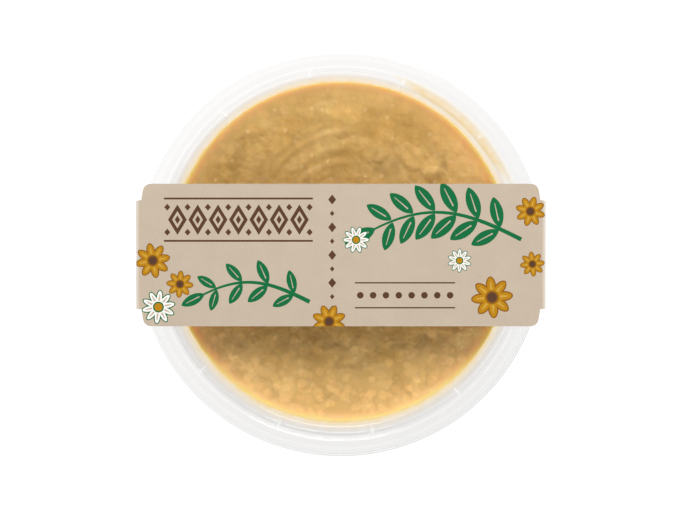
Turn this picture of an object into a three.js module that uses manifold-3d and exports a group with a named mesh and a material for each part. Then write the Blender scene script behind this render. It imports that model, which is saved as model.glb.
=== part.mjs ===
// A round clear tub of hummus, shut by a clear press-fit lid and held in a printed card band.
// Millimetres, +Z up. The origin is on the surface that the pack stands on, under its middle;
// +Y is the far side as the print is read, and the band runs along X.
import * as THREE from "three";
import { mergeVertices } from "three/addons/utils/BufferGeometryUtils.js";
import Module from "manifold-3d";

const wasm = await Module();
wasm.setup();

// Driving sizes
const SIDES = 60; // facets round the tub and the lid
const ROUND_STEPS = 2; // facets in each rounded corner
const CARD = 0.35; // thickness of the card
const GAP = 0.1; // air between pieces that rest flat on each other

const TUB = {
  wall: 0.6,
  footRadius: 42.2, // middle of the wall, at the foot
  footWidth: 3.6, // of the ring that the tub stands on
  footHeight: 0.9, // the base is raised this much inside the ring
  footRound: 1.2,
  shoulderHeight: 37,
  shoulderOut: 0.9, // the small step that the lid's rim sits above
  shoulderUp: 0.6,
  neckOut: 1.1,
  flangeRound: 0.5,
  flangeHeight: 39.6, // middle of the flange's wall
  flangeRadius: 57.3,
  lipDrop: 1.5, // the flange's turned-down edge
};
const TAPER = THREE.MathUtils.degToRad(15); // of the tub's side, from upright

const LID = {
  wall: 0.55,
  panelHeight: 37.7, // middle of the sunk panel
  panelRadius: 50.6,
  panelRound: 0.7,
  stepInner: 51.7, // the narrow step at the top of the panel's wall
  stepHeight: 40.5,
  stepRound: 0.5,
  rimInner: 53.7, // the flat rim that lies over the tub's flange and carries the band
  rimHeight: 40.95,
  rimSlope: 0.5, // width of the slope from the step up to the rim
  rimRound: 0.8,
  skirtRadius: 58.325,
  skirtEnd: 35.9,
  grip: 0.6, // the skirt's edge turns in this much, under the flange
};
const LUGS = {
  count: 12,
  first: 10, // angle of the first one
  inner: 50.8,
  outer: 53.3,
  width: 0.8,
  top: 41.05,
  depth: 1.3, // below the step, down the panel's wall
  chamfer: 0.3,
};

const BAND = {
  halfLength: 59.05, // outside of the folds that grip the lid
  halfWidth: 20.55, // of the printed panel on top
  shift: -0.35, // the band sits this much off the middle, towards the near side
  sideHalfWidth: 15.6, // of the side and bottom panels
  earLength: 57.5, // the panel's ends beside the folds, from the middle
  earSlant: 0.8,
  earRound: 2.2,
  foldRound: 0.9,
  creaseHeight: 34.8, // where the sides turn inwards under the lid's skirt
  creaseRound: 3,
  footHalf: 44.6,
  lapStart: -12, // the glued overlap inside the bottom panel, from and to
  lapEnd: 9,
};

const DIP = {
  level: 28.6, // of the fill at the wall
  clearance: 0.3, // to the tub's inner wall
  rings: 27,
  mound: 1.1, // the middle stands this much higher
  moundEdge: 3, // the mound ends this far from the wall
  smoothEdge: 2.6, // width of the smooth band along the wall
  roughEdge: 7.5, // and how far from the wall the full relief starts
  meniscus: 0.5, // how far the fill climbs the wall
  meniscusWidth: 2.5,
};
// The filling nozzle leaves arcs round a point off the middle, which open out clockwise from an angle.
const SWIRL = { x: -3, y: 13.2, opensAt: 110, opensTo: 41, opening: 0.3, seam: -60, softEnds: 30 };
const RIDGES = [
  { radius: 11, half: 1.5, height: 0.3, start: 55, end: 200 },
  { radius: 15.3, half: 1.5, height: 0.4, start: 40, end: 200 },
  { radius: 19.6, half: 1.3, height: 0.2, start: 60, end: 185 },
  { radius: 25.5, half: 3.2, height: 0.6, start: 70, end: 190 },
  { radius: 32.6, half: 2.4, height: 0.3, start: 100, end: 185 },
];
// A shallow trough across the near half
const FURROW = { x: 3.5, y: -1.2, radius: 31, half: 2.6, height: -0.55, start: 215, end: 325 };
// The largest clots, from the far right to the near left
const CLOTS = [
  { x: 12.2, y: 31, length: 11, width: 6, angle: 72, height: 0.5 },
  { x: 20.5, y: 27.6, length: 10, width: 7, angle: -35, height: 0.5 },
  { x: 28.5, y: 21.5, length: 9, width: 6.5, angle: -50, height: 0.6 },
  { x: 1.5, y: 36, length: 9, width: 5, angle: 15, height: 0.25 },
  { x: 15, y: -27, length: 9, width: 6.5, angle: -20, height: 0.4 },
  { x: -4, y: -30, length: 8.5, width: 7, angle: 60, height: 0.3 },
  { x: -22, y: -24, length: 8, width: 6, angle: 30, height: 0.4 },
];
const CLUMPS = { seed: 20417, count: 150, edge: 4.5, least: 1.8, most: 4.4, height: 0.42 };

// Shared shape helpers

// Corners [x, y, fillet] as a polyline whose corners are rounded by short curves.
function softLine(corners, closed = false) {
  const points = corners.map(([x, y]) => new THREE.Vector2(x, y));
  const path = new THREE.Path();
  const last = corners.length - 1;
  const at = (i) => points[(i + points.length) % points.length];
  corners.forEach(([, , fillet = 0], i) => {
    const open = !closed && (i === 0 || i === last);
    const reach = open ? 0 : fillet;
    const before = at(i - 1).clone().sub(at(i)).setLength(reach).add(at(i));
    const after = at(i + 1).clone().sub(at(i)).setLength(reach).add(at(i));
    if (i === 0) path.moveTo(before.x, before.y);
    else path.lineTo(before.x, before.y);
    if (reach) path.quadraticCurveTo(at(i).x, at(i).y, after.x, after.y);
  });
  if (closed) path.closePath();
  const found = path.getPoints(ROUND_STEPS);
  if (closed && found[0].distanceTo(found.at(-1)) < 1e-6) found.pop();
  return found;
}

// The same line moved sideways by a distance, with mitred corners.
function offsetLine(line, distance, closed = false) {
  const n = line.length;
  return line.map((p, i) => {
    const before = closed ? line[(i + n - 1) % n] : line[Math.max(i - 1, 0)];
    const after = closed ? line[(i + 1) % n] : line[Math.min(i + 1, n - 1)];
    const a = p.clone().sub(before);
    const b = after.clone().sub(p);
    if (a.lengthSq() === 0) a.copy(b);
    if (b.lengthSq() === 0) b.copy(a);
    const normalA = new THREE.Vector2(-a.y, a.x).normalize();
    const normalB = new THREE.Vector2(-b.y, b.x).normalize();
    const mitre = normalA.clone().add(normalB).normalize();
    return p.clone().addScaledVector(mitre, distance / mitre.dot(normalA));
  });
}

// A wall of even thickness round the middle line, turned about Z. The line starts on the axis.
function turnedShell(line, thickness) {
  const upper = offsetLine(line, thickness / 2);
  const lower = offsetLine(line, -thickness / 2);
  upper[0].x = 0;
  lower[0].x = 0;
  return new THREE.LatheGeometry([...lower, ...upper.reverse()], SIDES).rotateX(Math.PI / 2);
}

function toSolid(geometry) {
  const bare = (geometry.index ? geometry.toNonIndexed() : geometry.clone())
    .deleteAttribute("normal")
    .deleteAttribute("uv");
  const merged = mergeVertices(bare, 1e-4);
  return new wasm.Manifold(
    new wasm.Mesh({
      numProp: 3,
      vertProperties: merged.attributes.position.array,
      triVerts: new Uint32Array(merged.index.array),
    }),
  );
}

function toGeometry(solid) {
  const { vertProperties, triVerts } = solid.getMesh();
  const geometry = new THREE.BufferGeometry()
    .setAttribute("position", new THREE.BufferAttribute(new Float32Array(vertProperties), 3))
    .setIndex(new THREE.BufferAttribute(new Uint32Array(triVerts), 1));
  geometry.computeVertexNormals();
  return geometry;
}

// An outline in the X-Z plane, drawn out along Y about the middle.
function alongY(shape, width) {
  return new THREE.ExtrudeGeometry(shape, { depth: width, bevelEnabled: false })
    .rotateX(Math.PI / 2)
    .translate(0, width / 2, 0);
}

// Tub

// Radius of the middle of the tub's tapered wall at a height.
function wallRadius(z) {
  return TUB.footRadius + (z - TUB.wall / 2) * Math.tan(TAPER);
}

function tubGeometry() {
  const stand = CARD + GAP + TUB.wall / 2;
  const base = stand + TUB.footHeight;
  const shoulder = wallRadius(TUB.shoulderHeight);
  const line = softLine([
    [0, base],
    [TUB.footRadius - TUB.footWidth - TUB.footHeight, base],
    [TUB.footRadius - TUB.footWidth, stand],
    [TUB.footRadius, stand, TUB.footRound],
    [shoulder, TUB.shoulderHeight],
    [shoulder + TUB.shoulderOut, TUB.shoulderHeight + TUB.shoulderUp],
    [shoulder + TUB.neckOut, TUB.flangeHeight, TUB.flangeRound],
    [TUB.flangeRadius, TUB.flangeHeight, TUB.flangeRound],
    [TUB.flangeRadius, TUB.flangeHeight - TUB.lipDrop],
  ]);
  return turnedShell(line, TUB.wall);
}

// Lid

function lidShell() {
  const line = softLine([
    [0, LID.panelHeight],
    [LID.panelRadius, LID.panelHeight, LID.panelRound],
    [LID.stepInner, LID.stepHeight, LID.stepRound],
    [LID.rimInner, LID.stepHeight],
    [LID.rimInner + LID.rimSlope, LID.rimHeight],
    [LID.skirtRadius, LID.rimHeight, LID.rimRound],
    [LID.skirtRadius, LID.skirtEnd + LID.grip],
    [LID.skirtRadius - LID.grip, LID.skirtEnd],
  ]);
  return turnedShell(line, LID.wall);
}

// A small radial lug across the step, one of those that keep stacked lids apart.
function lugGeometry(index) {
  const outline = new THREE.Shape([
    new THREE.Vector2(LUGS.inner, LID.stepHeight - LUGS.depth),
    new THREE.Vector2(LID.stepInner, LID.stepHeight),
    new THREE.Vector2(LUGS.outer, LID.stepHeight),
    new THREE.Vector2(LUGS.outer - LUGS.chamfer, LUGS.top),
    new THREE.Vector2(LUGS.inner + LUGS.chamfer, LUGS.top),
  ]);
  const angle = THREE.MathUtils.degToRad(LUGS.first + (360 / LUGS.count) * index);
  return alongY(outline, LUGS.width).rotateZ(angle);
}

function lidGeometry() {
  let solid = toSolid(lidShell());
  for (let i = 0; i < LUGS.count; i++) solid = solid.add(toSolid(lugGeometry(i)));
  return toGeometry(solid);
}

// Card band

const PANEL_HEIGHT = LID.rimHeight + LID.wall / 2 + GAP; // underside of the printed panel

// The closed strip round the pack: top panel, two folded sides and the bottom panel.
function stripGeometry() {
  const top = PANEL_HEIGHT + CARD / 2;
  const half = BAND.halfLength - CARD / 2;
  const foot = BAND.footHalf - CARD / 2;
  const right = [
    [foot, CARD / 2, BAND.foldRound],
    [half, BAND.creaseHeight, BAND.creaseRound],
    [half, top, BAND.foldRound],
  ];
  const left = right.map(([x, z, round]) => [-x, z, round]).reverse();
  const middle = softLine([...right, ...left], true);
  const shape = new THREE.Shape(offsetLine(middle, -CARD / 2, true));
  shape.holes.push(new THREE.Path(offsetLine(middle, CARD / 2, true)));
  return alongY(shape, 2 * BAND.sideHalfWidth);
}

// The printed panel, wider than the sides, with slanted and rounded ends that clear the folds.
function panelGeometry() {
  const { earLength, earSlant, earRound, halfWidth, sideHalfWidth } = BAND;
  const quarter = [
    [earLength, sideHalfWidth],
    [earLength - earSlant, halfWidth, earRound],
  ];
  const back = quarter.map(([x, y, round]) => [-x, y, round]).reverse();
  const far = [...quarter, ...back];
  const near = far.map(([x, y, round]) => [x, -y, round]).reverse();
  const shape = new THREE.Shape(softLine([...far, ...near], true));
  const panel = new THREE.ExtrudeGeometry(shape, { depth: CARD, bevelEnabled: false });
  return panel.translate(0, 0, PANEL_HEIGHT);
}

// The glued overlap, on the inside of the bottom panel.
function lapGeometry() {
  const length = BAND.lapEnd - BAND.lapStart;
  const middle = (BAND.lapEnd + BAND.lapStart) / 2;
  return new THREE.BoxGeometry(length, 2 * BAND.sideHalfWidth, CARD).translate(middle, 0, 1.5 * CARD);
}

function bandGeometry() {
  const solid = toSolid(stripGeometry()).add(toSolid(panelGeometry())).add(toSolid(lapGeometry()));
  return toGeometry(solid).translate(0, BAND.shift, 0);
}

// Hummus

// Repeatable random numbers from 0 to 1.
function randomFrom(seed) {
  let state = seed;
  return () => {
    state = (Math.imul(state, 1664525) + 1013904223) >>> 0;
    return state / 4294967296;
  };
}

const smooth = THREE.MathUtils.smoothstep;

// Round clumps of mashed chickpea, spread evenly over the disc.
function scatterClumps(radius) {
  const random = randomFrom(CLUMPS.seed);
  return Array.from({ length: CLUMPS.count }, () => {
    const reach = (radius - CLUMPS.edge) * Math.sqrt(random());
    const turn = 2 * Math.PI * random();
    const size = CLUMPS.least + (CLUMPS.most - CLUMPS.least) * random() ** 2;
    const lift = 0.35 + 0.65 * random();
    return { x: reach * Math.cos(turn), y: reach * Math.sin(turn), size, lift };
  });
}

function clumpHeight(clumps, x, y) {
  let height = 0;
  for (const clump of clumps) {
    const near = Math.hypot(x - clump.x, y - clump.y) / clump.size;
    if (near < 1) height = Math.max(height, clump.lift * (1 - near ** 3) ** 1.2);
  }
  return CLUMPS.height * height;
}

// A round-topped ridge along an arc, fading out towards its ends. Its angles are in degrees.
function arcHeight(arc, reach, turn) {
  const middle = (arc.start + arc.end) / 2;
  const halfAngle = (arc.end - arc.start) / 2;
  const off = THREE.MathUtils.euclideanModulo(turn - middle + 180, 360) - 180;
  const fade = 1 - smooth(Math.abs(off), halfAngle - SWIRL.softEnds, halfAngle);
  return arc.height * fade * Math.exp(-(((reach - arc.radius) / arc.half) ** 2));
}

function swirlHeight(x, y) {
  const dx = x - SWIRL.x;
  const dy = y - SWIRL.y;
  const angle = THREE.MathUtils.radToDeg(Math.atan2(dy, dx));
  const turn = THREE.MathUtils.euclideanModulo(angle - SWIRL.seam, 360) + SWIRL.seam;
  const past = SWIRL.opensAt - THREE.MathUtils.clamp(turn, SWIRL.opensTo, SWIRL.opensAt);
  const opened = 1 + SWIRL.opening * THREE.MathUtils.degToRad(past);
  const reach = Math.hypot(dx, dy) / opened;
  return RIDGES.reduce((sum, arc) => sum + arcHeight(arc, reach, turn), 0);
}

function furrowHeight(x, y) {
  const dx = x - FURROW.x;
  const dy = y - FURROW.y;
  return arcHeight(FURROW, Math.hypot(dx, dy), THREE.MathUtils.radToDeg(Math.atan2(dy, dx)));
}

function clotHeight(x, y) {
  let height = 0;
  for (const clot of CLOTS) {
    const place = new THREE.Vector2(x - clot.x, y - clot.y);
    place.rotateAround(new THREE.Vector2(), -THREE.MathUtils.degToRad(clot.angle));
    const near = 2 * Math.hypot(place.x / clot.length, place.y / clot.width);
    if (near < 1) height = Math.max(height, clot.height * (1 - near ** 3));
  }
  return height;
}

function dipHeight(clumps, radius, x, y) {
  const r = Math.hypot(x, y);
  const rough = 1 - smooth(r, radius - DIP.roughEdge, radius - DIP.smoothEdge);
  const mound = DIP.mound * (1 - smooth(r, 0, radius - DIP.moundEdge));
  const meniscus = DIP.meniscus * smooth(r, radius - DIP.meniscusWidth, radius);
  const relief =
    swirlHeight(x, y) + furrowHeight(x, y) + clotHeight(x, y) + clumpHeight(clumps, x, y);
  return DIP.level + mound + meniscus + rough * relief;
}

// A disc of rings, ring i having 6 i points, so that its triangles are all about one size.
function discRing(index, radius, height) {
  const count = Math.max(6 * index, 1);
  return Array.from({ length: count }, (_, k) => {
    const turn = (2 * Math.PI * k) / count;
    const reach = (radius * index) / DIP.rings;
    const x = reach * Math.cos(turn);
    const y = reach * Math.sin(turn);
    return [x, y, height(x, y)];
  });
}

// Between ring i-1 and ring i: six sectors, each with i outward and i-1 inward triangles.
function ringFaces(starts, i) {
  const faces = [];
  const innerAt = (k) => starts[i - 1] + (k % Math.max(6 * (i - 1), 1));
  const outerAt = (k) => starts[i] + (k % (6 * i));
  for (let sector = 0; sector < 6; sector++) {
    for (let k = 0; k < i; k++) {
      const a = sector * i + k;
      const b = sector * (i - 1) + k;
      faces.push(outerAt(a), outerAt(a + 1), innerAt(b));
      if (k < i - 1) faces.push(outerAt(a + 1), innerAt(b + 1), innerAt(b));
    }
  }
  return faces;
}

function dipGeometry() {
  const inner = (z) => wallRadius(z) - TUB.wall / 2 / Math.cos(TAPER) - DIP.clearance;
  const floor = CARD + GAP + TUB.wall + TUB.footHeight + DIP.clearance;
  const radius = inner(DIP.level + DIP.meniscus);
  const clumps = scatterClumps(radius);
  const positions = [];
  const starts = [];
  const faces = [];
  for (let i = 0; i <= DIP.rings; i++) {
    starts.push(positions.length / 3);
    const ring = discRing(i, radius, (x, y) => dipHeight(clumps, radius, x, y));
    ring.forEach((p) => positions.push(...p));
    if (i > 0) faces.push(...ringFaces(starts, i));
  }
  // The side follows the tub's taper down to the base
  const rim = 6 * DIP.rings;
  const top = starts[DIP.rings];
  const bottom = positions.length / 3;
  const shrink = inner(floor) / radius;
  for (let k = 0; k < rim; k++) {
    const [x, y] = positions.slice(3 * (top + k), 3 * (top + k) + 2);
    positions.push(x * shrink, y * shrink, floor);
  }
  const centre = positions.length / 3;
  positions.push(0, 0, floor);
  for (let k = 0; k < rim; k++) {
    const next = (k + 1) % rim;
    faces.push(bottom + k, bottom + next, top + next, bottom + k, top + next, top + k);
    faces.push(centre, bottom + next, bottom + k);
  }
  const geometry = new THREE.BufferGeometry()
    .setAttribute("position", new THREE.Float32BufferAttribute(positions, 3))
    .setIndex(faces);
  geometry.computeVertexNormals();
  return geometry;
}

// The pack

function piece(name, geometry, look) {
  const mesh = new THREE.Mesh(geometry, new THREE.MeshStandardMaterial({ metalness: 0, ...look }));
  mesh.name = name;
  return mesh;
}

const clear = { color: 0xf4f5f4, roughness: 0.12, transparent: true, opacity: 0.3 };
const pack = new THREE.Group();
pack.add(
  piece("tub", tubGeometry(), clear),
  piece("lid", lidGeometry(), clear),
  piece("hummus", dipGeometry(), { color: 0xd9ad70, roughness: 0.55 }),
  piece("card_band", bandGeometry(), { color: 0xd7c6ad, roughness: 0.8 }),
);

export default pack;
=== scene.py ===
"""A shut tub of hummus: clear tub, clear lid, swirled dip and a printed card band, on a white stage."""

from math import atan, atan2, ceil, cos, pi, radians, sin, sqrt, tan, tau
from types import SimpleNamespace as Sizes

import bpy
import numpy as np
from bpy.props import FloatProperty, FloatVectorProperty, IntProperty, PointerProperty
from bpy.types import NodeSocket, Operator, Panel, PropertyGroup, Scene
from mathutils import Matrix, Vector, geometry


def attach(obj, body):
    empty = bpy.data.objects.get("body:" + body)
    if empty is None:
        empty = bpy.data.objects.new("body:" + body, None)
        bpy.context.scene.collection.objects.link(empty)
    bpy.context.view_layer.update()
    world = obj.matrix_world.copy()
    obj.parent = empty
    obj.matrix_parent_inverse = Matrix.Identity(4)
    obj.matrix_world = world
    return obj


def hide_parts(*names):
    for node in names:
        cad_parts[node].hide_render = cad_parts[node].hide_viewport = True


bl_info = {
    "name": "Hummus Tub",
    "version": (1, 0, 0),
    "blender": (4, 5, 0),
    "location": "3D View > Sidebar > Hummus Tub",
    "description": "Builds a clear tub of hummus with its lid, card band and studio stage",
    "category": "Object",
}

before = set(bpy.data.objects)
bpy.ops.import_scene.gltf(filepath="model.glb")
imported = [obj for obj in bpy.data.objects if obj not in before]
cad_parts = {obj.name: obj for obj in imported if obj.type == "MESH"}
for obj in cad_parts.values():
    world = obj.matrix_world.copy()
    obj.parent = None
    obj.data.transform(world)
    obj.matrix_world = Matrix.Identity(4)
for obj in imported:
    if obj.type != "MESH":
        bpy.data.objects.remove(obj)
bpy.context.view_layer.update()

MM = 0.001  # the sizes below are in millimetres, and Blender's are in metres

CARD = 0.35  # thickness of the card
TAPER = tan(radians(15))  # of the tub's side
TUB = Sizes(
    wall=0.6,
    foot_radius=42.2, foot_width=3.6, foot_height=0.9,
    stand=0.75,  # height of the middle of the foot's wall
    shoulder_height=37.0,
    flange_height=39.6, flange_radius=57.3, lip_drop=1.5,
)
LID = Sizes(
    wall=0.55,
    panel_height=37.7, panel_radius=50.6,
    step_inner=51.7, step_height=40.5,
    rim_inner=53.7, rim_height=40.95,
    skirt_radius=58.325, skirt_end=35.9, grip=0.6,
)
# The lid's lugs: they rise steeply at their inner ends, and fall away at their outer ones
LUGS = Sizes(
    count=12, first=10, inner=50.8, outer=53.3, width=0.8, top=41.05, rise=0.3, fall=1.6, root=1.3
)
BAND = Sizes(
    clearance=0.1,  # above the lid
    half_length=59.05, half_width=20.55,
    shift=-0.35,  # towards the near side
    side_half_width=15.6,
    ear_length=57.5, ear_slant=0.8, ear_round=2.2,
    crease_height=34.8, crease_round=3.0,
    foot_half=44.6, fold_round=0.9,
    seam=-9.0,  # where the two ends of the strip meet, under the tub
    seam_gap=0.12,
    lap_start=3.0, lap_reach=18.0, lap_round=2.0,
)
DIP = Sizes(
    level=28.6,
    mound=1.1, mound_edge=3.0,
    smooth_edge=2.6, rough_edge=7.5,
    meniscus=0.5, meniscus_width=2.5,
    bite=0.06,  # how far the fill reaches into the tub's wall
)
# The filling nozzle leaves arcs round a point off the middle, which open out clockwise from an angle
SWIRL = Sizes(x=-3.0, y=13.2, opens_at=110, opens_to=41, opening=0.3, seam=-60, soft_ends=30)
# Ridges round the swirl: radius, half width, height, and the angles that they start and end at
RIDGES = [
    (11.0, 1.5, 0.3, 55, 200),
    (15.3, 1.5, 0.4, 40, 200),
    (19.6, 1.3, 0.2, 60, 185),
    (25.5, 3.2, 0.6, 70, 190),
    (32.6, 2.4, 0.3, 100, 185),
]
FURROW_AT = (3.5, -1.2)
FURROW = (31.0, 2.6, -0.55, 215, 325)
# The largest clots: x, y, length, width, turn in degrees, and height
CLOTS = [
    (12.2, 31.0, 11.0, 6.0, 72, 0.5),
    (20.5, 27.6, 10.0, 7.0, -35, 0.5),
    (28.5, 21.5, 9.0, 6.5, -50, 0.6),
    (1.5, 36.0, 9.0, 5.0, 15, 0.25),
    (15.0, -27.0, 9.0, 6.5, -20, 0.4),
    (-4.0, -30.0, 8.5, 7.0, 60, 0.3),
    (-22.0, -24.0, 8.0, 6.0, 30, 0.4),
]
# Printed flowers: x along the band, y across it, size and turn
FLOWERS = [
    (43.6, -12.2, 11.4, 0.1),
    (54.6, 12.6, 8.2, 0.5),
    (55.2, -2.6, 6.8, 0.9),
    (-54.2, -1.6, 9.6, 0.2),
    (-46.4, -8.4, 7.4, 0.7),
    (-3.4, -19.2, 9.4, 0.4),
    (74.0, 5.5, 9.4, 0.9),
    (83.0, -7.0, 8.2, 0.3),
    (-76.0, -5.0, 9.0, 0.1),
    (-85.5, 6.5, 8.2, 0.2),
]
DAISIES = [(-52.6, -15.0, 9.4, 0.2), (4.4, 4.4, 7.4, 0.0), (34.2, -1.6, 6.6, 0.3)]
# The film on the wall above the fill, and a painted reflection of the paste: a yellow streak at an angle
# that reaches out over the flange
SMEAR = Sizes(top=38.9, gap=0.05, thickness=0.06, fading=1.9, streak_at=47, streak_low=33.5, out=54.6)
# Partly painted shade: the paste is darker there, as under the band
BROWN_AND_SHADED_MIDDLE = Sizes(x=-12.0, y=4.0, inner=15.0, outer=46.0)  # where the paste is browner
WHITE = (1, 1, 1, 1)
SOFT_SHINE = 0.25  # of the card and the paste
# Flecks of crushed chickpea: cells a metre, how far they fill a cell, the draws that they fade in
# between, and what they make of the paste's red, green and blue
FLECKS = [
    (210.0, 0.7, 0.25, 0.75, (1.11, 1.13, 1.17)),
    (300.0, 1.5, 0.3, 0.16, (0.9, 0.88, 0.84)),
    (390.0, 0.6, 0.35, 0.55, (1.13, 1.15, 1.2)),
]
# Larger patches of paler or deeper paste: x, y, length, width, turn in degrees, and tone
PATCHES = [
    (1.6, 41.0, 12.0, 4.5, 0, 1.14),
    (-17.4, 32.9, 18.0, 7.0, 33, 1.08),
    (23.5, 26.8, 13.0, 5.0, -18, 1.1),
    (12.0, 36.0, 9.0, 4.5, 70, 1.07),
    (29.5, 24.0, 6.5, 3.0, 60, 0.84),
    (-30.3, 28.0, 12.0, 4.5, 75, 0.86),
    (13.0, 24.5, 8.0, 6.0, 0, 0.88),
    (-8.6, -31.0, 9.0, 3.0, -10, 0.9),
    (6.0, -33.0, 10.0, 2.6, 5, 0.9),
    (-20.0, -33.0, 5.0, 4.0, 60, 1.08),
    (4.0, -26.5, 10.0, 4.0, -5, 1.1),
    (36.0, -25.0, 7.0, 4.0, 40, 1.1),
]
CLUMPS = Sizes(seed=20417, count=150, edge=4.5, least=1.8, most=4.4, height=0.42)

FILM_FACES = 180  # round the film on the wall
TUB_FACES = 240  # round the tub and the lid
LID_STEP = 1.5  # longest step of the lid's outline
SIDE_ROWS = 14  # rows of faces down the side of the fill
GRID = 64  # cells of a noise before it repeats

# The stage, in metres: the floor's half side and how far it lies below, and the lamp
FLOOR = Sizes(half=1.5, drop=0.0002)
LAMP = Sizes(size=0.55, place=(0.06, 0.68, 0.74))
# Straight above, from the first Z of a direction to the second, the surroundings dim to a share
DIM = Sizes(start=0.80, end=0.93, share=0.12)


def srgb(red, green, blue):
    """Blender's linear colour, from the 0 to 255 numbers of a picture."""
    def linear(value):
        share = value / 255
        return share / 12.92 if share <= 0.04045 else ((share + 0.055) / 1.055) ** 2.4
    return (linear(red), linear(green), linear(blue), 1.0)


# Settings that a user would change


def colour(name, description, default):
    kind = {"subtype": "COLOR", "size": 4, "min": 0, "max": 1}
    return FloatVectorProperty(name=name, description=description, default=default, **kind)


def number(name, description, default, **kind):
    return FloatProperty(name=name, description=description, default=default, **kind)


class DipSettings(PropertyGroup):
    paste: colour("Paste", "Colour of the hummus in the middle", srgb(215, 178, 108))
    deep: colour("Deep tone", "Colour of the darker, wetter paste", srgb(201, 160, 83))
    # Partly painted shade: darker and browner where the band shades the middle
    middle: colour("Middle", "Browner colour far from the wall", srgb(186, 147, 78))
    # Painted glow along the wall
    edge: colour("Edge", "Brighter colour along the wall", srgb(254, 214, 148))
    # Painted light towards the near side and right
    near: colour("Near side", "Brighter colour towards the near wall", srgb(245, 205, 138))
    speck: colour("Specks", "Colour of the smallest pale bits", srgb(250, 222, 172))
    # Also the tint of the painted reflection of the paste over the flange
    film: colour("Film", "What the film on the wall lets through", (0.995, 0.865, 0.60, 1))
    roughness: number("Roughness", "Mean roughness of the moist surface", 0.46, min=0.1, max=1)
    glow_depth: number("Glow depth", "How far light spreads in the paste", 0.0006, unit="LENGTH")
    edge_depth: number("Edge depth", "How far it spreads along the wall", 0.004, unit="LENGTH")
    rings: IntProperty(name="Rings", description="Rings of faces on it", default=165, min=30, max=170)


class PlasticSettings(PropertyGroup):
    tint: colour("Tint", "What a wall seen face on lets through", (0.988, 0.987, 0.987, 1))
    # Also the colour of the painted shade on the tub's near left and on its ledge
    edge_and_shade_tint: colour("Edge tint", "What a wall seen edge on lets through", (0.70, 0.705, 0.70, 1))
    # Also the colour of the painted shade on the lid's near right
    rim_and_shade_tint: colour("Rim line", "What the lid's outer edge lets through", (0.78, 0.78, 0.78, 1))
    milk: number("Milkiness", "Share of light that a wall scatters", 0.006, min=0, max=1)
    frost: number("Frosted lugs", "Share of light that the lugs scatter", 0.3, min=0, max=1)
    roughness: number("Roughness", "Roughness of the gloss", 0.09, min=0, max=1)


class CardSettings(PropertyGroup):
    card: colour("Card", "Colour of the uncoated card", srgb(191, 175, 155))
    green: colour("Green ink", "Colour of the sprigs", srgb(0, 103, 56))
    brown: colour("Brown ink", "Colour of the woven border, dots and lines", srgb(86, 56, 36))
    ochre: colour("Ochre ink", "Colour of the printed flowers", srgb(181, 126, 4))
    dark_ochre: colour("Dark ochre ink", "Outline of the flowers", srgb(137, 88, 4))
    light_ochre: colour("Light ochre ink", "Streaks on the flowers", srgb(198, 154, 56))
    white: colour("White ink", "Colour of the daisies", srgb(244, 242, 238))


class StageSettings(PropertyGroup):
    distance: number("Camera distance", "From the lid to the camera", 0.85, unit="LENGTH", min=0.2)
    tilt: number("Camera tilt", "Lean from above, towards +Y", radians(2.2), subtype="ANGLE")
    picture_width: number("Picture width", "Width seen at the lid", 0.1964, unit="LENGTH")
    key_power: number("Key light", "Power of the soft light", 6.45, unit="POWER", min=0)
    sky: number("Sky", "Strength of the even white surroundings", 0.94, min=0)
    glow: number("Floor glow", "Light given by the floor, as by a light table", 0.965, min=0)


# Outlines


def soft_line(corners, steps, closed=False):
    """Points of a line through corners (x, y, rounding), with short curves for the rounded ones."""
    points = [np.array(c[:2], float) for c in corners]
    rounds = [c[2] if len(c) > 2 else 0 for c in corners]
    found = []
    for i, (point, reach) in enumerate(zip(points, rounds)):
        if not reach or (not closed and i in (0, len(points) - 1)):
            found.append(point)
            continue
        start, end = (
            point + reach * (other - point) / np.linalg.norm(other - point)
            for other in (points[i - 1], points[(i + 1) % len(points)])
        )
        for t in np.linspace(0, 1, steps + 1):
            found.append((1 - t) ** 2 * start + 2 * t * (1 - t) * point + t * t * end)
    return np.array(found)


def normals_of(line, closed=False):
    """Unit normals to the left of a line, and how far a mitre reaches there."""
    before = np.roll(line, 1, 0)
    after = np.roll(line, -1, 0)
    if not closed:
        before[0], after[-1] = 2 * line[0] - line[1], 2 * line[-1] - line[-2]
    a, b = line - before, after - line
    left = [np.stack([-d[:, 1], d[:, 0]], 1) / np.linalg.norm(d, axis=1)[:, None] for d in (a, b)]
    mitre = left[0] + left[1]
    mitre /= np.linalg.norm(mitre, axis=1)[:, None]
    return mitre, 1 / (mitre * left[0]).sum(1)


def offset_line(line, distance, closed=False):
    mitre, reach = normals_of(line, closed)
    return line + distance * reach[:, None] * mitre


def divided(line, longest):
    """The same line with extra points, so that no stretch is longer than that."""
    found = [line[0]]
    for a, b in zip(line[:-1], line[1:]):
        parts = max(1, ceil(np.linalg.norm(b - a) / longest))
        found += [a + (b - a) * (i + 1) / parts for i in range(parts)]
    return np.array(found)


def smooth(value, low, high):
    t = np.clip((value - low) / (high - low), 0, 1)
    return t * t * (3 - 2 * t)


# Objects


def placed(name, data):
    """A new object in the scene."""
    item = bpy.data.objects.new(name, data)
    bpy.context.scene.collection.objects.link(item)
    return item


def add_object(name, points, faces, materials, face_materials=None, sharp=35):
    """A mesh object with its points given in millimetres."""
    mesh = bpy.data.meshes.new(name)
    mesh.from_pydata((np.asarray(points) * MM).tolist(), [], faces)
    for material in materials:
        mesh.materials.append(material)
    if face_materials is not None:
        mesh.polygons.foreach_set("material_index", face_materials)
    mesh.shade_smooth()
    mesh.set_sharp_from_angle(angle=radians(sharp))
    mesh.validate()
    return placed(name, mesh)


def on_part(item, node):
    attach(item, "root")
    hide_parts(node)


def polar(reach, angle, x=0.0, y=0.0):
    """The place at that distance and angle from another."""
    return x + reach * cos(angle), y + reach * sin(angle)


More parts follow.
